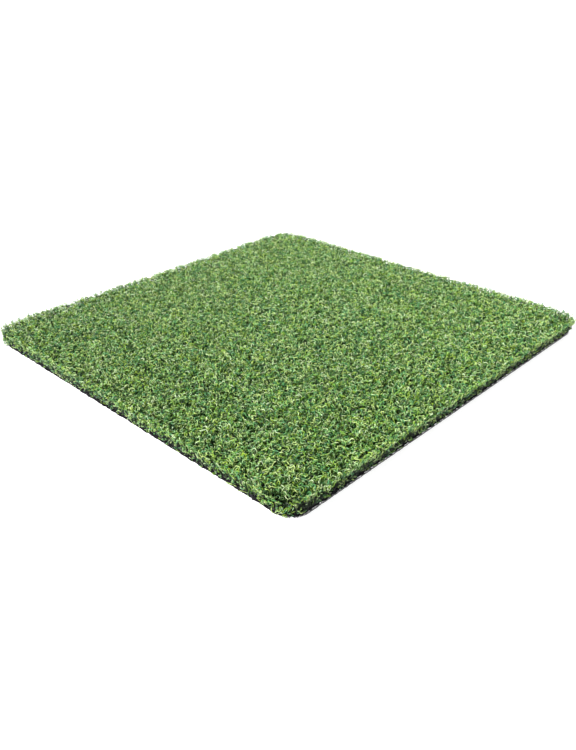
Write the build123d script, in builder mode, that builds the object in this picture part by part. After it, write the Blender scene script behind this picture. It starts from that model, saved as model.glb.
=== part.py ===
from build123d import *
import os
from math import atan, degrees, sqrt

# Square of tufted synthetic turf for hitting golf balls from. It lies flat on the ground.
# Millimetres. The origin is the centre of the underside, +Z points up through the pile,
# X and Y run along the sides, and the tuft rows run along Y.

# Outline
mat_side = 304.8
corner_radius = 12.0

# Layers, from the ground up
secondary_thickness = 0.9
latex_thickness = 1.8
primary_thickness = 0.5
pile_height = 10.0
pile_overhang = 1.5

# Tufting. The yarn of a row passes through the cloth in runs of close stitches, one slot each.
row_pitch = 6.35
row_gap = 0.25
runs_per_row = 8
cloth_between_runs = 4.0
yarn_width = 1.6
yarn_clearance = 0.1
back_stitch_depth = 0.6
slot_to_edge = 1.5

# Values worked out from the ones above
half_side = mat_side / 2
row_count = round(mat_side / row_pitch)
latex_bottom = secondary_thickness
primary_bottom = latex_bottom + latex_thickness
pile_bottom = primary_bottom + primary_thickness
back_stitch_bottom = primary_bottom - back_stitch_depth
slot_width = yarn_width + 2 * yarn_clearance
lean_angle = degrees(atan(pile_overhang / pile_height))
row_centres = [(number - (row_count - 1) / 2) * row_pitch for number in range(row_count)]
run_pitch = mat_side / runs_per_row
run_centres = [(number - (runs_per_row - 1) / 2) * run_pitch for number in range(runs_per_row)]


def half_length_at(x):
    """Half the outline's length along Y at a distance x from the middle of the mat."""
    into_corner = abs(x) - (half_side - corner_radius)
    if into_corner <= 0:
        return half_side
    return half_side - corner_radius + sqrt(corner_radius**2 - into_corner**2)


def slots_of(x):
    """Centre and length along Y of each slot of the row at x, kept clear of the outline."""
    reach = half_length_at(abs(x) + slot_width / 2) - slot_to_edge
    half_slot = (run_pitch - cloth_between_runs) / 2
    slots = []
    for centre in run_centres:
        low = max(centre - half_slot, -reach)
        high = min(centre + half_slot, reach)
        slots.append(((low + high) / 2, high - low))
    return slots


def groove_length_of(x):
    """Length along Y from the outer end of the row's first slot to that of its last."""
    centre, length = slots_of(x)[-1]
    return 2 * centre + length


def export_piece(piece, name):
    """Label a finished piece and write its STEP file."""
    piece.label = name
    export_step(piece, f"parts/{name}.step")


def make_secondary_backing():
    """The lowest layer: a cloth that lies on the ground."""
    with BuildPart() as secondary_backing:
        with BuildSketch():
            RectangleRounded(mat_side, mat_side, corner_radius)
        extrude(amount=secondary_thickness)
    export_piece(secondary_backing.part, "secondary_backing")


def make_latex_coat():
    """The coat that bonds the cloths, with a groove around the back stitch of every row."""
    with BuildPart() as latex_coat:
        with BuildSketch(Plane.XY.offset(latex_bottom)):
            RectangleRounded(mat_side, mat_side, corner_radius)
        extrude(amount=latex_thickness)
        with BuildSketch(Plane.XY.offset(primary_bottom)):
            for x in row_centres:
                with Locations((x, 0)):
                    Rectangle(slot_width, groove_length_of(x))
        extrude(amount=-(back_stitch_depth + yarn_clearance), mode=Mode.SUBTRACT)
    export_piece(latex_coat.part, "latex_coat")


def make_primary_backing():
    """The woven cloth that the rows are tufted through, with one slot for each run."""
    with BuildPart() as primary_backing:
        with BuildSketch(Plane.XY.offset(primary_bottom)):
            RectangleRounded(mat_side, mat_side, corner_radius)
        extrude(amount=primary_thickness)
        with BuildSketch(Plane.XY.offset(primary_bottom)):
            for x in row_centres:
                for centre, length in slots_of(x):
                    with Locations((x, centre)):
                        Rectangle(slot_width, length)
        extrude(amount=primary_thickness, mode=Mode.SUBTRACT)
    export_piece(primary_backing.part, "primary_backing")


def make_tuft_row(index):
    """One row: its pile above the cloth, a leg in each slot, the back stitch below."""
    x = row_centres[index]
    width = row_pitch - row_gap
    middle = x
    if index in (0, row_count - 1):
        width += 2 * pile_overhang
        middle += pile_overhang if x > 0 else -pile_overhang
    with BuildPart() as tuft_row:
        with BuildSketch(Plane.XY.offset(pile_bottom)):
            RectangleRounded(mat_side, mat_side, corner_radius)
        extrude(amount=pile_height, taper=-lean_angle)
        with Locations((middle, 0, pile_bottom + pile_height / 2)):
            Box(width, 2 * mat_side, 2 * pile_height, mode=Mode.INTERSECT)
        with BuildSketch(Plane.XY.offset(back_stitch_bottom)):
            for centre, length in slots_of(x):
                with Locations((x, centre)):
                    Rectangle(yarn_width, length - 2 * yarn_clearance)
        extrude(amount=pile_bottom - back_stitch_bottom)
        with BuildSketch(Plane.XY.offset(back_stitch_bottom)):
            with Locations((x, 0)):
                Rectangle(yarn_width, groove_length_of(x) - 2 * yarn_clearance)
        extrude(amount=back_stitch_depth)
    export_piece(tuft_row.part, f"tuft_row_{index + 1:02d}")


os.makedirs("parts", exist_ok=True)
make_secondary_backing()
make_latex_coat()
make_primary_backing()
for row_index in range(row_count):
    make_tuft_row(row_index)
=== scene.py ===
import math

import bpy
import numpy as np
from mathutils import Matrix, Vector


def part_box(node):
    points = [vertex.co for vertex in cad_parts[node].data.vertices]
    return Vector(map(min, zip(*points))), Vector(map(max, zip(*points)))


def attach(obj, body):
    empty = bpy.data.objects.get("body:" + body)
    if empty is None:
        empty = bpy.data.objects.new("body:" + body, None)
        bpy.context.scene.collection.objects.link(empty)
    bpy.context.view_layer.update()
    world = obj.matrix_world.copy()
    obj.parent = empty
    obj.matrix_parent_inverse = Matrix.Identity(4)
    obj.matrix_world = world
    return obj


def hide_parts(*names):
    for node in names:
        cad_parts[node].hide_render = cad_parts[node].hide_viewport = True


# A square of curly artificial turf on a white floor. Its pile is separate strands, one piece for
# each tuft row of the frame. Under the pile lie a woven tufting cloth, a latex coat and a woven
# ground cloth, with frayed fibres and loose yarn ends at their cut edges. Lengths are in metres.

MM = 0.001

# Sizes that the frame gives
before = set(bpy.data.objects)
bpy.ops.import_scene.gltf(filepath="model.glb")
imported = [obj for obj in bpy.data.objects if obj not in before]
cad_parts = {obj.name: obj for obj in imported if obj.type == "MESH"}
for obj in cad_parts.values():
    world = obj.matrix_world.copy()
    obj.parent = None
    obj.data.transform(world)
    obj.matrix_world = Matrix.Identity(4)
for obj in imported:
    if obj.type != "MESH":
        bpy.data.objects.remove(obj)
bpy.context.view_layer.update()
row_nodes = sorted(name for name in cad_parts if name.startswith("tuft_row_"))
ground_low, ground_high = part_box("secondary_backing")
latex_low, latex_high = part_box("latex_coat")
cloth_low, cloth_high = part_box("primary_backing")
half_side = ground_high.x
row_pitch = 2 * half_side / len(row_nodes)
pile_bottom = cloth_high.z
pile_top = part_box(row_nodes[len(row_nodes) // 2])[1].z
pile_height = pile_top - pile_bottom

# Radius of the outline's corners, the same as in the CAD
corner_radius = 12 * MM

# Pile: a tuft is a bunch of strands, and a strand is a straight stem under a curly crown
strand_radius = 0.205 * MM
strands_per_tuft = 11
tuft_pitch = 2.5 * MM
tuft_inset = 0.6 * MM
tuft_scatter = 0.5 * MM
root_scatter = 1.1 * MM
root_inset = 0.5 * MM
root_height = pile_bottom - 0.2 * MM
heading_spread = 1.3
stem_length = 4.9 * MM
stem_steps = 2
crown_step = 0.82 * MM
crown_steps = 9
rise_wave = 6.0 * MM
turn_wave = 6.4 * MM
steepest_climb = 0.97
steepest_fall = -0.85
stem_climb = 0.95
tuft_tone_share = 0.2

# Pile at the cut sides, where strands lean out over the backing and spill down it
side_zone = 7 * MM
side_overhang = 3.0 * MM
furthest_overhang = 4.2 * MM
corner_flare = 0.12
corner_tuck = 0.5
spill_spacing = 0.195 * MM
spill_inset = 0.2 * MM
spill_zone = 1.2 * MM
spill_step = 0.70 * MM
spill_thicker = 1.15

# Backing
ground_cloth_pitch = 3.0 * MM
tufting_cloth_pitch = row_pitch / 2
tape_share = 0.7

# Camera
camera_lens = 35.408
camera_azimuth = 44.9323
camera_elevation = 28.7417
camera_roll = -1.17
camera_distance = 501.853 * MM
camera_aim = Vector((42.891 * MM, -43.521 * MM, 0))


# ---------------------------------------------------------------- random values


def scattered(middle, spread, size, rng):
    """Random values about a middle, most of them less than spread away from it."""
    return middle + spread * rng.standard_normal(size)


def variation(count, spread, rng):
    """Factors about 1, one for each strand, that vary by about the share spread."""
    return np.exp(spread * rng.standard_normal((count, 1)))


# ---------------------------------------------------------------- the mat's outline


def half_length_at(x, inset=0.0):
    """Half the outline's length along Y at a distance x from the mat's middle."""
    side = half_side - inset
    radius = corner_radius - inset
    into_corner = np.clip(np.abs(x) - (side - radius), 0, radius)
    return side - radius + np.sqrt(radius**2 - into_corner**2)


def to_outline(points):
    """Distance from each point to the mat's outline, over 0 inside, and the way out."""
    past_middle = np.abs(points) - (half_side - corner_radius)
    side_x = past_middle[:, 0] > past_middle[:, 1]
    straight_out = np.stack([side_x, ~side_x], -1).astype(float)
    length = np.linalg.norm(past_middle, axis=1, keepdims=True) + 1e-12
    at_corner = (past_middle > 0).all(1)[:, None]
    out = np.where(at_corner, past_middle / length, straight_out) * np.sign(points)
    from_corner = corner_radius - length[:, 0]
    from_side = corner_radius - past_middle.max(1)
    return np.where(at_corner[:, 0], from_corner, from_side), out


def smooth(value):
    """Ease from 0 to 1, level at both ends."""
    value = np.clip(value, 0, 1)
    return value * value * (3 - 2 * value)


def in_corner(points):
    """1 in the mat's rounded corners, falling to 0 along its straight sides."""
    past_middle = np.abs(points) - (half_side - corner_radius)
    return smooth(past_middle.min(1) / corner_radius + 1)


def on_x_side(points):
    """1 beside the edges that run along Y, 0 beside the other two, blended on the diagonals."""
    blend_width = 9 * MM
    return smooth((np.abs(points[:, 0]) - np.abs(points[:, 1])) / blend_width + 0.5)


def leaning_out(points):
    """How far the pile leans out: 1 along the sides, more in two corners, less in the others."""
    flared = np.abs(points.sum(1)) / (2 * half_side)
    tucked = (1 - flared) * on_x_side(points)
    return 1 + in_corner(points) * (corner_flare * flared - corner_tuck * tucked)


def outline_points(spacing):
    """Points round the mat's outline, and the way out at each."""
    straight = 2 * (half_side - corner_radius)
    side_count = int(straight / spacing)
    turn_count = max(6, int(0.5 * math.pi * corner_radius / spacing))
    points = []
    outs = []
    for corner in range(4):
        turn = corner * math.pi / 2
        away = np.array([math.cos(turn), math.sin(turn)])
        along = np.array([-math.sin(turn), math.cos(turn)])
        run = np.linspace(-straight / 2, straight / 2, side_count, endpoint=False)[:, None]
        points.append(half_side * away + run * along)
        outs.append(np.repeat(away[None, :], side_count, 0))
        angle = turn + np.linspace(0, math.pi / 2, turn_count, endpoint=False)
        arc_out = np.stack([np.cos(angle), np.sin(angle)], -1)
        centre = (half_side - corner_radius) * (away + along)
        points.append(centre + corner_radius * arc_out)
        outs.append(arc_out)
    return np.concatenate(points), np.concatenate(outs)


# ---------------------------------------------------------------- meshes


def tube_faces(count, rings, sides):
    """The faces along count closed tubes, and those that close their two ends."""
    strand = np.arange(count)[:, None, None] * rings * sides
    ring = np.arange(rings - 1)[None, :, None] * sides
    side = np.arange(sides)[None, None, :]
    here = strand + ring + side
    beside = strand + ring + (side + 1) % sides
    quads = np.stack([here, beside, beside + sides, here + sides], -1).reshape(-1, 4)
    first = np.arange(count)[:, None] * rings * sides
    last = first + (rings - 1) * sides
    root_caps = first + np.arange(sides)[None, ::-1]
    tip_caps = last + np.arange(sides)[None, :]
    return quads, np.concatenate([root_caps, tip_caps])


def tube_points(line, across, half_width, half_depth, sides):
    """Rings of points round every line. Four sides make a flat tape."""
    tangent = np.gradient(line, axis=1)
    tangent /= np.linalg.norm(tangent, axis=2, keepdims=True) + 1e-12
    other = np.cross(tangent, across)
    other /= np.linalg.norm(other, axis=2, keepdims=True) + 1e-12
    first_angle = np.pi / 4 if sides == 4 else 0
    to_corner = math.sqrt(2) if sides == 4 else 1
    angle = first_angle + 2 * np.pi * np.arange(sides) / sides
    wide = to_corner * half_width[:, None, None, None] * np.cos(angle)[None, None, :, None]
    deep = to_corner * half_depth[:, None, None, None] * np.sin(angle)[None, None, :, None]
    return line[:, :, None, :] + wide * across[:, :, None, :] + deep * other[:, :, None, :]


def add_values(mesh, name, values):
    """Give every point of a mesh a number that its material reads."""
    attribute = mesh.attributes.new(name, "FLOAT", "POINT")
    attribute.data.foreach_set("value", values.astype(np.float32))


def add_strand_map(mesh, count, rings, sides):
    """A UV map where every strand has its own cell: across it in u, along it in v."""
    columns = math.ceil(math.sqrt(count))
    margin = 0.12
    strand = np.arange(count)
    cell_u = (strand % columns)[:, None, None, None]
    cell_v = (strand // columns)[:, None, None, None]
    side = np.arange(sides)[None, None, :, None]
    ring = np.arange(rings - 1)[None, :, None, None]
    across = (side + np.array([0, 1, 1, 0])[None, None, None, :]) / sides
    along = (ring + np.array([0, 0, 1, 1])[None, None, None, :]) / (rings - 1)
    u = (cell_u + margin + (1 - 2 * margin) * across) / columns + 0 * along
    v = (cell_v + margin + (1 - 2 * margin) * along) / columns + 0 * across
    quad_map = np.stack([u, v], -1).reshape(-1, 2)
    cap_u = np.repeat((strand % columns + 0.5) / columns, sides)
    root_v = np.repeat((strand // columns + margin) / columns, sides)
    tip_v = np.repeat((strand // columns + 1 - margin) / columns, sides)
    cap_map = np.stack([np.tile(cap_u, 2), np.concatenate([root_v, tip_v])], -1)
    layer = mesh.uv_layers.new(name="OFBake")
    layer.data.foreach_set("uv", np.concatenate([quad_map, cap_map]).astype(np.float32).ravel())


def tube_mesh(name, line, across, half_width, half_depth, tone, light=None, sides=3):
    """One closed tube along every line, as one mesh. tone is one value for each tube."""
    count, rings, _ = line.shape
    points = tube_points(line, across, half_width, half_depth, sides)
    quads, caps = tube_faces(count, rings, sides)
    mesh = bpy.data.meshes.new(name)
    mesh.vertices.add(points.size // 3)
    mesh.vertices.foreach_set("co", points.astype(np.float32).ravel())
    mesh.loops.add(quads.size + caps.size)
    mesh.loops.foreach_set("vertex_index", np.concatenate([quads.ravel(), caps.ravel()]))
    mesh.polygons.add(len(quads) + len(caps))
    cap_starts = quads.size + np.arange(len(caps)) * sides
    starts = np.concatenate([np.arange(len(quads)) * 4, cap_starts])
    mesh.polygons.foreach_set("loop_start", starts)
    mesh.polygons.foreach_set("use_smooth", np.full(len(starts), sides != 4))
    mesh.update(calc_edges=True)
    # light is how open each point is to light, which the pile material turns into painted shade; 1
    # everywhere, no painted shade, if not given
    light = np.ones((count, rings)) if light is None else light
    add_values(mesh, "strand_tone", np.repeat(tone, rings * sides))
    add_values(mesh, "strand_light", np.repeat(light.ravel(), sides))
    add_strand_map(mesh, count, rings, sides)
    return mesh


def add_piece(mesh, material, node=None):
    """Put a mesh into the scene as a piece that rides on the mat."""
    piece = bpy.data.objects.new(mesh.name, mesh)
    bpy.context.scene.collection.objects.link(piece)
    mesh.materials.append(material)
    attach(piece, "root")
    if node:
        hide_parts(node)
    return piece


# ---------------------------------------------------------------- pile


def curl(start, steps, heading, rise_mean, rise_swing, turn_swing, wave_start, stem_share, rng):
    """Points along strands that leave their starts, climb and wave from side to side.

    steps are the lengths of the strands' pieces, and stem_share is 1 where a strand is still
    its straight stem and 0 where it is its curly crown.
    """
    count = len(start)
    arc = np.concatenate([np.zeros((count, 1)), np.cumsum(steps, 1)], 1)
    own_rise_wave = rise_wave * variation(count, 0.2, rng)
    rise_start = scattered(wave_start[:, None], 1.6, (count, 1), rng)
    flattening = 1 - 0.8 * arc / arc[:, -1:]
    rise = rise_mean[:, None] * flattening + rise_swing[:, None] * np.sin(
        2 * np.pi * arc / own_rise_wave + rise_start
    )
    rise = np.clip(rise, steepest_fall, steepest_climb)
    rise = (1 - stem_share) * rise + stem_share * stem_climb
    own_turn_wave = turn_wave * variation(count, 0.25, rng)
    turn_start = rng.uniform(0, 2 * np.pi, (count, 1))
    drift_per_metre = scattered(0, 90, (count, 1), rng)
    turn = turn_swing[:, None] * np.sin(2 * np.pi * arc / own_turn_wave + turn_start)
    azimuth = heading[:, None] + turn + drift_per_metre * arc
    level = np.sqrt(1 - rise**2)
    tangent = np.stack([level * np.cos(azimuth), level * np.sin(azimuth), rise], -1)
    moves = (tangent[:, 1:] + tangent[:, :-1]) / 2 * steps[:, :, None]
    line = np.concatenate([np.zeros((count, 1, 3)), np.cumsum(moves, 1)], 1)
    across = np.stack([-np.sin(azimuth), np.cos(azimuth), np.zeros_like(azimuth)], -1)
    return start[:, None, :] + line, across


def for_each_strand(of_tufts):
    """Repeat the values of tufts for every strand in them."""
    return np.repeat(of_tufts, strands_per_tuft)


def tuft_roots(x, rng):
    """Where the strands of one row come out of the cloth, bunched in tufts along it."""
    reach = half_length_at(np.array([x]), tuft_inset)[0]
    tuft_count = int(2 * reach / tuft_pitch)
    tuft_y = (np.arange(tuft_count) + 0.5) / tuft_count * 2 * reach - reach
    tuft_y = scattered(tuft_y, tuft_scatter, tuft_count, rng)
    count = tuft_count * strands_per_tuft
    root_x = x + row_pitch * rng.uniform(-0.48, 0.48, count)
    root_y = scattered(for_each_strand(tuft_y), root_scatter, count, rng)
    limit = half_length_at(root_x, root_inset)
    root_y = np.clip(root_y, -limit, limit)
    limit_x = half_length_at(root_y, root_inset)
    root_x = np.clip(root_x, -limit_x, limit_x)
    return np.column_stack([root_x, root_y, np.full(count, root_height)])


def strand_heights(tuft_count, near_side, rng):
    """Height of each strand. It differs from tuft to tuft, and less near the mat's sides."""
    of_tufts = scattered(1.08, 0.045, tuft_count, rng).clip(0.92, 1.16)
    shortening = 0.3 * rng.uniform(0, 1, tuft_count * strands_per_tuft)
    tallness = for_each_strand(of_tufts) * (1 - shortening)
    at_side = 0.97
    evening_out = 0.6
    tallness = tallness + (at_side - tallness) * evening_out * near_side
    return pile_height * tallness


def stem_and_crown(count, rng):
    """Lengths of the strands' pieces, and how much of a stem each point of a strand is."""
    stem = np.full((count, stem_steps), stem_length / stem_steps)
    crown = np.full((count, crown_steps), crown_step)
    steps = np.concatenate([stem, crown], 1) * variation(count, 0.1, rng)
    stem_share = np.zeros((count, stem_steps + crown_steps + 1))
    stem_share[:, :stem_steps] = 1
    stem_share[:, stem_steps] = 0.5
    return steps, stem_share


def stretch_to(line, heights):
    """Stretch strands upwards until they are as high as heights, changing line in place."""
    top = (line[:, :, 2] - root_height).max(1)
    taller = np.clip(heights / top, 0.6, 1.45)[:, None]
    line[:, :, 2] = root_height + (line[:, :, 2] - root_height) * taller


def lean_over_side(line, roots, near_side, out):
    """Push strands near the mat's sides out, more the higher they are, in place."""
    up = ((line[:, :, 2] - pile_bottom) / pile_height).clip(0, 1)
    overhang = side_overhang * leaning_out(roots[:, :2])
    push = (overhang * near_side**1.5)[:, None] * up
    line[:, :, :2] += push[:, :, None] * out[:, None, :]


def inner_strands(x, rng):
    """The strands of one row's tufts, and a shade for each."""
    roots = tuft_roots(x, rng)
    count = len(roots)
    tuft_count = count // strands_per_tuft
    heading = for_each_strand(rng.uniform(0, 2 * np.pi, tuft_count))
    heading = scattered(heading, heading_spread, count, rng)
    wave_start = for_each_strand(rng.uniform(0, 2 * np.pi, tuft_count))
    distance, out = to_outline(roots[:, :2])
    near_side = (1 - distance / side_zone).clip(0, 1)
    heights = strand_heights(tuft_count, near_side, rng)
    shade = for_each_strand(rng.uniform(0, 1, tuft_count))
    steps, stem_share = stem_and_crown(count, rng)
    rise_mean = scattered(0.72, 0.1, count, rng)
    rise_swing = scattered(0.60, 0.1, count, rng)
    turn_swing = rng.uniform(0.7, 1.9, count)
    line, across = curl(
        roots, steps, heading, rise_mean, rise_swing, turn_swing, wave_start, stem_share, rng
    )
    stretch_to(line, heights)
    lean_over_side(line, roots, near_side, out)
    return line, across, shade


def outline_roots(x, is_edge_row, rng):
    """Root places along the part of the outline that a row reaches."""
    furthest = half_side - 0.3 * MM
    ends = int(row_pitch / spill_spacing)
    places = []
    for side in (-1, 1):
        root_x = x + row_pitch * rng.uniform(-0.5, 0.5, ends)
        root_x = np.clip(root_x, -furthest, furthest)
        places.append(np.stack([root_x, side * half_length_at(root_x, spill_inset)], -1))
    if is_edge_row:
        along = int(2 * (half_side - corner_radius) / spill_spacing)
        root_y = rng.uniform(-1, 1, along) * furthest
        root_x = np.sign(x) * half_length_at(root_y, spill_inset)
        places.append(np.stack([root_x, root_y], -1))
    return np.concatenate(places)


def spill_starts(places, out, rng):
    """Where the crowns of the strands at the sides start: out of the side, at every height."""
    count = len(places)
    stem = rng.uniform(0.02, 0.92, count) * pile_height
    overhang = side_overhang * leaning_out(places)
    lean = rng.uniform(0.0, 1.0, count) * overhang * (0.1 + 0.9 * stem / pile_height)
    drooping = in_corner(places) * (1 - on_x_side(places)) * (places[:, 1] < 0)
    stem = stem * (1 - 0.45 * drooping)
    return np.column_stack([places + out * lean[:, None], root_height + stem])


def spilled_strands(x, is_edge_row, rng):
    """The strands at the mat's sides, which lean out and curl over them, and their shades."""
    places = outline_roots(x, is_edge_row, rng)
    count = len(places)
    _, out = to_outline(places)
    places = places - out * rng.uniform(0, spill_zone, (count, 1))
    roots = np.column_stack([places, np.full(count, root_height)])
    start = spill_starts(places, out, rng)
    heading = np.arctan2(out[:, 1], out[:, 0]) + rng.uniform(-2.2, 2.2, count)
    steps = np.full((count, crown_steps), spill_step) * variation(count, 0.15, rng)
    stem_share = np.zeros((count, crown_steps + 1))
    stem_share[:, 0] = 0.4
    rise_mean = scattered(0.05 - 0.5 * in_corner(places), 0.2, count, rng)
    rise_swing = scattered(0.65, 0.1, count, rng)
    turn_swing = rng.uniform(1.2, 2.4, count)
    wave_start = rng.uniform(0, 2 * np.pi, count)
    crown, across = curl(
        start, steps, heading, rise_mean, rise_swing, turn_swing, wave_start, stem_share, rng
    )
    share = np.linspace(0, 1, stem_steps, endpoint=False)[None, :, None]
    stems = roots[:, None, :] + share * (start - roots)[:, None, :]
    line = np.concatenate([stems, crown], 1)
    across = np.concatenate([np.repeat(across[:, :1], stem_steps, 1), across], 1)
    return line, across, rng.uniform(0, 1, count)


def spill_height(points):
    """How far down the strands that spill over the side reach, in uneven lobes."""
    along = points[:, 0] + points[:, 1] * np.sign(points[:, 0] * points[:, 1])
    long_lobes = np.sin(2 * np.pi * along / (31 * MM))
    short_lobes = np.sin(2 * np.pi * along / (12.7 * MM) + 2)
    uneven = 0.4 * (long_lobes + short_lobes)
    to_front = (points[:, 0] - points[:, 1]) / (4 * half_side) + 0.5
    lowest = 2.1
    height = (lowest + 0.9 * to_front + uneven + 1.3 * on_x_side(points)) * MM
    return height * (1 - 0.9 * in_corner(points) * (1 - on_x_side(points)))


def hold_in(line):
    """Stop strands short of the ground and of going far past the outline, in place."""
    flat = line.reshape(-1, 3)
    distance, out = to_outline(flat[:, :2])
    over = np.maximum(-distance, 0)
    furthest = furthest_overhang * leaning_out(flat[:, :2])
    held = furthest * np.tanh(over / furthest)
    flat[:, :2] -= (over - held)[:, None] * out
    lowest = np.where(distance > 0, root_height, spill_height(flat[:, :2]))
    flat[:, 2] = np.maximum(flat[:, 2], lowest)


def open_to_light(line):
    """How open each point is to light, for the pile's painted shade: from 0 at a root deep in the
    pile to 1 at its top, and high too out at its side.
    """
    flat = line.reshape(-1, 3)
    distance, _ = to_outline(flat[:, :2])
    up = (flat[:, 2] - pile_bottom) / pile_height
    fully_outside = 1.5 * MM
    outside = 0.9 * smooth(-distance / fully_outside)
    return np.maximum(up, outside).reshape(line.shape[:2]).clip(0, 1.1)


def pile_row(index, node):
    """The curly strands of one tuft row."""
    rng = np.random.default_rng(100 + index)
    x = (index - (len(row_nodes) - 1) / 2) * row_pitch
    is_edge_row = index in (0, len(row_nodes) - 1)
    inner, inner_across, inner_shade = inner_strands(x, rng)
    spill, spill_across, spill_shade = spilled_strands(x, is_edge_row, rng)
    line = np.concatenate([inner, spill])
    across = np.concatenate([inner_across, spill_across])
    count = len(line)
    hold_in(line)
    radius = strand_radius * scattered(1, 0.12, count, rng).clip(0.7, 1.35)
    radius[len(inner) :] *= spill_thicker
    shade = np.concatenate([inner_shade, spill_shade])
    mixed = tuft_tone_share * shade + (1 - tuft_tone_share) * rng.uniform(0, 1, count)
    tone = np.argsort(np.argsort(mixed)) / (count - 1)
    name = f"pile_row_{index + 1:02d}"
    # open_to_light gives strand_light, from which the pile material paints shade deep in the pile
    mesh = tube_mesh(name, line, across, radius, radius, tone, open_to_light(line))
    return add_piece(mesh, pile_material, node)


# ---------------------------------------------------------------- backing


def woven_cloth(name, low, high, pitch, inset, rng):
    """Flat tapes that pass over and under each other, cut to the mat's outline."""
    side = half_side - inset
    tape_count = int(2 * side / pitch)
    places = (np.arange(tape_count) + 0.5 - tape_count / 2) * pitch
    crossings = np.concatenate([[-side], places, [side]])
    middle = (low + high) / 2
    tape_depth = (high - low) / 5
    sway = 0.04 * pitch
    lines = []
    acrosses = []
    for turned in (False, True):
        reach = half_length_at(places, inset)[:, None]
        along = np.clip(crossings[None, :], -reach, reach)
        sideways = scattered(places[:, None], sway, (tape_count, 1), rng) + 0 * along
        over = (-1.0) ** (np.arange(tape_count)[:, None] + np.arange(len(crossings))[None, :])
        over = over if turned else -over
        height = middle + 0.5 * (high - low - tape_depth) * over
        ends_x, ends_y = (sideways, along) if turned else (along, sideways)
        lines.append(np.stack([ends_x, ends_y, height], -1))
        across = np.zeros(lines[-1].shape)
        across[:, :, 0 if turned else 1] = 1
        acrosses.append(across)
    line = np.concatenate(lines)
    count = len(line)
    half_width = 0.5 * tape_share * pitch * scattered(1, 0.08, count, rng)
    half_depth = np.full(count, tape_depth / 2)
    tone = rng.uniform(0, 1, count)
    return tube_mesh(name, line, np.concatenate(acrosses), half_width, half_depth, tone, sides=4)


def uneven_cut(count, rng):
    """How far a cut edge wanders in and out round the outline, and its short dents."""
    furthest = 0.25 * MM
    walk = np.cumsum(rng.standard_normal(count))
    walk = walk - np.linspace(walk[0], walk[-1], count)
    walk = furthest * walk / np.abs(walk).max()
    dent_width = 3
    dent_places = np.arange(0, count + dent_width, dent_width)
    dents = np.interp(np.arange(count), dent_places, rng.standard_normal(len(dent_places)))
    return walk, 0.26 * MM * dents


def latex_slab():
    """The latex coat: an uneven cut edge that laps over the ground cloth at two sides."""
    rng = np.random.default_rng(7)
    points, outs = outline_points(spacing=0.8 * MM)
    count = len(points)
    at_lap = np.abs(outs[:, 1]) ** 2
    lap_foot = 0.08 * MM
    foot = latex_low.z * (1 - at_lap) + lap_foot * at_lap
    crest = latex_high.z + 0.25 * MM
    set_back = 0.1 * MM
    levels = 6
    walk, dents = uneven_cut(count, rng)
    rings = []
    for level in range(levels):
        share = level / (levels - 1)
        height = foot + (crest - foot) * share
        bulge = 0.16 * MM * math.sin(math.pi * share)
        rough = 0.1 * MM * rng.standard_normal(count)
        reach = walk + bulge + rough + dents - set_back
        reach = reach - 0.3 * MM * (1 - at_lap)
        rings.append(np.column_stack([points + reach[:, None] * outs, height]))
    rim = points - 1.2 * MM * outs
    inner_low = np.column_stack([rim, np.full(count, latex_low.z)])
    inner_high = np.column_stack([rim, np.full(count, latex_high.z)])
    rings = [inner_low, *rings, inner_high]
    faces = []
    following = np.roll(np.arange(count), -1)
    for level in range(len(rings) - 1):
        here = level * count + np.arange(count)
        there = level * count + following
        faces += np.stack([here, there, there + count, here + count], -1).tolist()
    faces.append(list(range(count))[::-1])
    faces.append([(len(rings) - 1) * count + step for step in range(count)])
    mesh = bpy.data.meshes.new("latex_layer")
    mesh.from_pydata(np.concatenate(rings).tolist(), [], faces)
    mesh.update()
    return mesh


def short_fibres(name, roots, heading, length, radius, rise, rng, tone, wander, furthest):
    """Short loose fibres that start at the roots and wander off along their headings."""
    count = len(roots)
    steps = 5
    lowest = 0.15 * MM
    share = np.linspace(0, 1, steps)[None, :]
    bend = wander * rng.standard_normal((count, 1))
    azimuth = heading[:, None] + bend * share * 2
    climb = rise[:, None] + 0.5 * wander * rng.standard_normal((count, 1)) * share
    level = np.cos(climb)
    tangent = np.stack([level * np.cos(azimuth), level * np.sin(azimuth), np.sin(climb)], -1)
    moves = tangent[:, 1:] * (length[:, None, None] / (steps - 1))
    line = np.concatenate([np.zeros((count, 1, 3)), np.cumsum(moves, 1)], 1)
    line = roots[:, None, :] + line
    flat = line.reshape(-1, 3)
    distance, out = to_outline(flat[:, :2])
    flat[:, :2] -= np.maximum(-distance - furthest, 0)[:, None] * out
    flat[:, 2] = np.maximum(flat[:, 2], lowest)
    across = np.stack([-np.sin(azimuth), np.cos(azimuth), 0 * azimuth], -1)
    return tube_mesh(name, line, across, radius, radius, tone)


def frayed_edges():
    """Pale grey fibres of the ground cloth, matted where its tapes are cut."""
    rng = np.random.default_rng(21)
    per_side = 2600
    side = np.repeat([-1, 1], per_side)
    count = len(side)
    straight = half_side - 0.45 * corner_radius
    y = rng.uniform(-straight, straight, count)
    x = side * (half_length_at(y, 0) - rng.uniform(-0.15, 0.3, count) * MM)
    z = rng.uniform(0.12, 0.72, count) * MM
    to_one_side = np.where(rng.uniform(0, 1, count) < 0.5, -1, 1)
    turn = to_one_side * scattered(1.35, 0.3, count, rng)
    heading = np.where(side > 0, 0, math.pi) + turn
    length = rng.uniform(0.8, 2.6, count) * MM
    radius = rng.uniform(0.07, 0.14, count) * MM
    rise = scattered(0, 0.08, count, rng)
    tone = rng.uniform(0.2, 1, count)
    roots = np.column_stack([x, y, z])
    furthest = rng.uniform(0, 0.35, count * 5) * MM
    wander = 0.2
    return short_fibres(
        "frayed_edges", roots, heading, length, radius, rise, rng, tone, wander, furthest
    )


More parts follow.
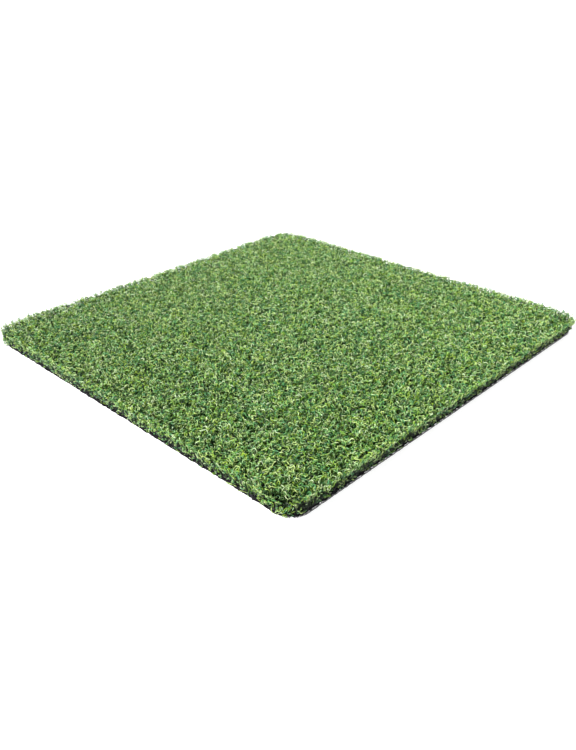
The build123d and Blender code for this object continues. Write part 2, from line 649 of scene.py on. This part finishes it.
def hanging_ends(rng):
    """Bunches of short ends that hang down: their x, side, heading, length and rise."""
    bunches = 15
    bunch_x = rng.uniform(-1, 1, bunches) * (half_side - 0.5 * corner_radius)
    bunch_size = rng.integers(1, 5, bunches)
    x = scattered(np.repeat(bunch_x, bunch_size), 0.9 * MM, bunch_size.sum(), rng)
    side = np.repeat(np.where(rng.uniform(0, 1, bunches) < 0.6, -1, 1), bunch_size)
    heading = scattered(side * math.pi / 2, 0.6, len(x), rng)
    length = rng.uniform(1.4, 2.6, len(x)) * MM
    rise = scattered(-1.1, 0.2, len(x), rng)
    return x, side, heading, length, rise


def trailing_ends(rng):
    """Longer ends that trail along one side, near its corner, with the same five values."""
    count = 4
    x = half_side - corner_radius - rng.uniform(0, 0.2, count) * half_side
    side = np.full(count, -1)
    heading = scattered(math.pi, 0.3, count, rng)
    length = rng.uniform(5, 9, count) * MM
    rise = scattered(-0.08, 0.05, count, rng)
    return x, side, heading, length, rise


def loose_ends():
    """Pale cut ends of yarn at the two sides where the rows end."""
    rng = np.random.default_rng(33)
    both_kinds = zip(hanging_ends(rng), trailing_ends(rng))
    x, side, heading, length, rise = (np.concatenate(values) for values in both_kinds)
    count = len(x)
    y = side * (half_length_at(x, 0) + 0.25 * MM)
    z = rng.uniform(2.2, 3.2, count) * MM
    radius = rng.uniform(0.11, 0.18, count) * MM
    tone = rng.uniform(0.4, 0.86, count)
    roots = np.column_stack([x, y, z])
    wander = 0.8
    furthest = 2 * MM
    return short_fibres(
        "loose_ends", roots, heading, length, radius, rise, rng, tone, wander, furthest
    )


# ---------------------------------------------------------------- materials


def new_material(name):
    """A material with its node tree and its shader."""
    material = bpy.data.materials.new(name)
    material.use_nodes = True
    tree = material.node_tree
    return material, tree, tree.nodes["Principled BSDF"]


def add_attribute(tree, name):
    """A node that reads a number from the mesh."""
    attribute = tree.nodes.new("ShaderNodeAttribute")
    attribute.attribute_name = name
    return attribute


def add_ramp(tree, value, stops):
    """A colour ramp fed by value. stops are pairs of a position and a colour."""
    node = tree.nodes.new("ShaderNodeValToRGB")
    ramp = node.color_ramp
    for element, (position, colour) in zip(ramp.elements, (stops[0], stops[-1])):
        element.position = position
        element.color = (*colour, 1)
    for position, colour in stops[1:-1]:
        ramp.elements.new(position).color = (*colour, 1)
    tree.links.new(value, node.inputs["Fac"])
    return node.outputs["Color"]


def add_noise(tree, scale, detail):
    """Noise in the object's own space. scale is in repeats per metre."""
    place = tree.nodes.new("ShaderNodeTexCoord")
    noise = tree.nodes.new("ShaderNodeTexNoise")
    noise.inputs["Scale"].default_value = scale
    noise.inputs["Detail"].default_value = detail
    tree.links.new(place.outputs["Object"], noise.inputs["Vector"])
    return noise.outputs["Fac"]


def add_bump(tree, shader, height, strength, depth):
    """Let a noise stand out from the surface by up to depth."""
    bump = tree.nodes.new("ShaderNodeBump")
    bump.inputs["Strength"].default_value = strength
    bump.inputs["Distance"].default_value = depth
    tree.links.new(height, bump.inputs["Height"])
    tree.links.new(bump.outputs["Normal"], shader.inputs["Normal"])


def link_roughness(tree, shader, value, low, high):
    """Vary the roughness with a noise, from low to high."""
    spread = tree.nodes.new("ShaderNodeMapRange")
    spread.inputs["To Min"].default_value = low
    spread.inputs["To Max"].default_value = high
    tree.links.new(value, spread.inputs["Value"])
    tree.links.new(spread.outputs["Result"], shader.inputs["Roughness"])


def make_pile_material():
    """Mixed green yarn: one shade of green for each strand, with painted shade that turns it dark
    and deep green at the root and deep in the pile.
    """
    material, tree, shader = new_material("pile_yarn_green")
    shades = [
        (0.00, (0.020, 0.098, 0.008)),
        (0.16, (0.054, 0.210, 0.078)),
        (0.34, (0.115, 0.266, 0.024)),
        (0.50, (0.205, 0.308, 0.015)),
        (0.66, (0.200, 0.370, 0.145)),
        (0.84, (0.335, 0.428, 0.116)),
        (1.00, (0.375, 0.475, 0.290)),
    ]
    tone = add_attribute(tree, "strand_tone")
    shade = add_ramp(tree, tone.outputs["Fac"], shades)
    # Painted shade: the lower strand_light is, that is the deeper a point lies in the pile, the
    # darker and deeper green it is painted
    painted_shade_stops = [
        (0.00, (0.010, 0.040, 0.002)),
        (0.50, (0.026, 0.060, 0.007)),
        (0.80, (0.270, 0.345, 0.190)),
        (0.95, (1.000, 1.000, 1.000)),
    ]
    light = add_attribute(tree, "strand_light")
    depth = add_ramp(tree, light.outputs["Fac"], painted_shade_stops)
    # The yarn's own colour times the painted shade
    darkened = tree.nodes.new("ShaderNodeVectorMath")
    darkened.operation = "MULTIPLY"
    tree.links.new(shade, darkened.inputs[0])
    tree.links.new(depth, darkened.inputs[1])
    tree.links.new(darkened.outputs["Vector"], shader.inputs["Base Color"])
    shader.inputs["Roughness"].default_value = 0.38
    shader.inputs["Specular IOR Level"].default_value = 0.5
    return material


def make_latex_material():
    """Black latex: matt, pitted, a little greyer where it is dusty."""
    material, tree, shader = new_material("latex_black")
    blacks = [
        (0.30, (0.003, 0.003, 0.004)),
        (0.60, (0.007, 0.007, 0.008)),
        (0.80, (0.018, 0.018, 0.020)),
    ]
    dust = add_noise(tree, scale=260, detail=4)
    tree.links.new(add_ramp(tree, dust, blacks), shader.inputs["Base Color"])
    link_roughness(tree, shader, dust, low=0.85, high=1.0)
    pits = add_noise(tree, scale=1400, detail=3)
    add_bump(tree, shader, pits, strength=0.6, depth=0.15 * MM)
    shader.inputs["Specular IOR Level"].default_value = 0.06
    return material


def make_tape_material(name, dark, middle, pale):
    """Woven tape: half its shade is the tape's own, and half is that of the fine fibres in it."""
    material, tree, shader = new_material(name)
    tone = add_attribute(tree, "strand_tone")
    fibres = add_noise(tree, scale=2200, detail=4)
    half_fibres = tree.nodes.new("ShaderNodeMath")
    half_fibres.operation = "MULTIPLY"
    half_fibres.inputs[1].default_value = 0.5
    tree.links.new(fibres, half_fibres.inputs[0])
    mixed = tree.nodes.new("ShaderNodeMath")
    mixed.operation = "MULTIPLY_ADD"
    mixed.inputs[1].default_value = 0.5
    tree.links.new(tone.outputs["Fac"], mixed.inputs[0])
    tree.links.new(half_fibres.outputs["Value"], mixed.inputs[2])
    colour = add_ramp(tree, mixed.outputs["Value"], [(0.1, dark), (0.5, middle), (0.85, pale)])
    tree.links.new(colour, shader.inputs["Base Color"])
    link_roughness(tree, shader, fibres, low=0.55, high=0.9)
    add_bump(tree, shader, fibres, strength=0.5, depth=0.08 * MM)
    shader.inputs["Specular IOR Level"].default_value = 0.3
    return material


def make_floor_material():
    """A white floor that glows, so that the mat throws hardly any shadow on it."""
    material, _, shader = new_material("floor_pale")
    shader.inputs["Base Color"].default_value = (0.35, 0.35, 0.35, 1)
    shader.inputs["Roughness"].default_value = 0.9
    shader.inputs["Emission Color"].default_value = (1, 1, 1, 1)
    shader.inputs["Emission Strength"].default_value = 0.85
    return material


# ---------------------------------------------------------------- floor, light and camera


def add_floor():
    """A floor so large that its edge lies at the horizon."""
    bpy.ops.mesh.primitive_plane_add(size=120, location=(0, 0, 0))
    floor = bpy.context.object
    floor.name = "floor"
    floor.data.materials.append(make_floor_material())


def add_sky():
    """White from the horizon up, so that floor and backdrop meet unseen, and dimmer overhead."""
    world = bpy.data.worlds.new("studio")
    bpy.context.scene.world = world
    world.use_nodes = True
    tree = world.node_tree
    way = tree.nodes.new("ShaderNodeTexCoord")
    parts = tree.nodes.new("ShaderNodeSeparateXYZ")
    tree.links.new(way.outputs["Generated"], parts.inputs["Vector"])
    strength = tree.nodes.new("ShaderNodeMapRange")
    strength.inputs["From Min"].default_value = 0.45
    strength.inputs["From Max"].default_value = 0.85
    strength.inputs["To Min"].default_value = 1.02
    strength.inputs["To Max"].default_value = 0.5
    tree.links.new(parts.outputs["Z"], strength.inputs["Value"])
    sky = tree.nodes["Background"]
    sky.inputs["Color"].default_value = (1, 1, 1, 1)
    tree.links.new(strength.outputs["Result"], sky.inputs["Strength"])


def add_sun(name, direction, strength, softness):
    """A large far lamp. direction points from the mat to it, and softness is its size in degrees."""
    data = bpy.data.lights.new(name, "SUN")
    data.energy = strength
    data.angle = math.radians(softness)
    light = bpy.data.objects.new(name, data)
    light.rotation_euler = Vector(direction).to_track_quat("Z", "Y").to_euler()
    bpy.context.scene.collection.objects.link(light)


def add_camera():
    """A camera that looks down on the mat across one of its corners, rolled a little."""
    data = bpy.data.cameras.new("camera")
    camera = bpy.data.objects.new("camera", data)
    bpy.context.scene.collection.objects.link(camera)
    bpy.context.scene.camera = camera
    data.lens = camera_lens
    data.sensor_width = 36
    data.clip_start = 0.01
    data.clip_end = 200
    azimuth = math.radians(camera_azimuth)
    elevation = math.radians(camera_elevation)
    roll = math.radians(camera_roll)
    level = math.cos(elevation)
    back = Vector((math.sin(azimuth) * level, -math.cos(azimuth) * level, math.sin(elevation)))
    right = (-back).cross(Vector((0, 0, 1))).normalized()
    up = right.cross(-back)
    rolled_right = math.cos(roll) * right + math.sin(roll) * up
    rolled_up = -math.sin(roll) * right + math.cos(roll) * up
    turn = Matrix((rolled_right, rolled_up, back)).transposed()
    place = Matrix.Translation(camera_aim + camera_distance * back)
    camera.matrix_world = place @ turn.to_4x4()


# ---------------------------------------------------------------- the scene

pile_material = make_pile_material()
latex_material = make_latex_material()
ground_tape = make_tape_material(
    "ground_cloth_grey", (0.03, 0.03, 0.033), (0.16, 0.16, 0.165), (0.55, 0.55, 0.55)
)
tufting_tape = make_tape_material(
    "tufting_cloth_black", (0.004, 0.004, 0.005), (0.010, 0.010, 0.012), (0.03, 0.03, 0.032)
)

for row_index, row_node in enumerate(row_nodes):
    pile_row(row_index, row_node)

add_piece(latex_slab(), latex_material, "latex_coat")

ground_mesh = woven_cloth(
    "ground_cloth",
    low=ground_low.z + 0.05 * MM,
    high=ground_high.z,
    pitch=ground_cloth_pitch,
    inset=0.35 * MM,
    rng=np.random.default_rng(3),
)
ground_cloth = add_piece(ground_mesh, ground_tape, "secondary_backing")
tufting_mesh = woven_cloth(
    "tufting_cloth",
    low=cloth_low.z,
    high=cloth_high.z,
    pitch=tufting_cloth_pitch,
    inset=0.3 * MM,
    rng=np.random.default_rng(5),
)
tufting_cloth = add_piece(tufting_mesh, tufting_tape, "primary_backing")

add_piece(frayed_edges(), ground_tape)
add_piece(loose_ends(), pile_material)

add_floor()
add_sky()
add_sun("key", direction=(-0.36, -0.72, 1.0), strength=11.2, softness=8)
add_camera()
bpy.context.scene.view_settings.view_transform = "Standard"
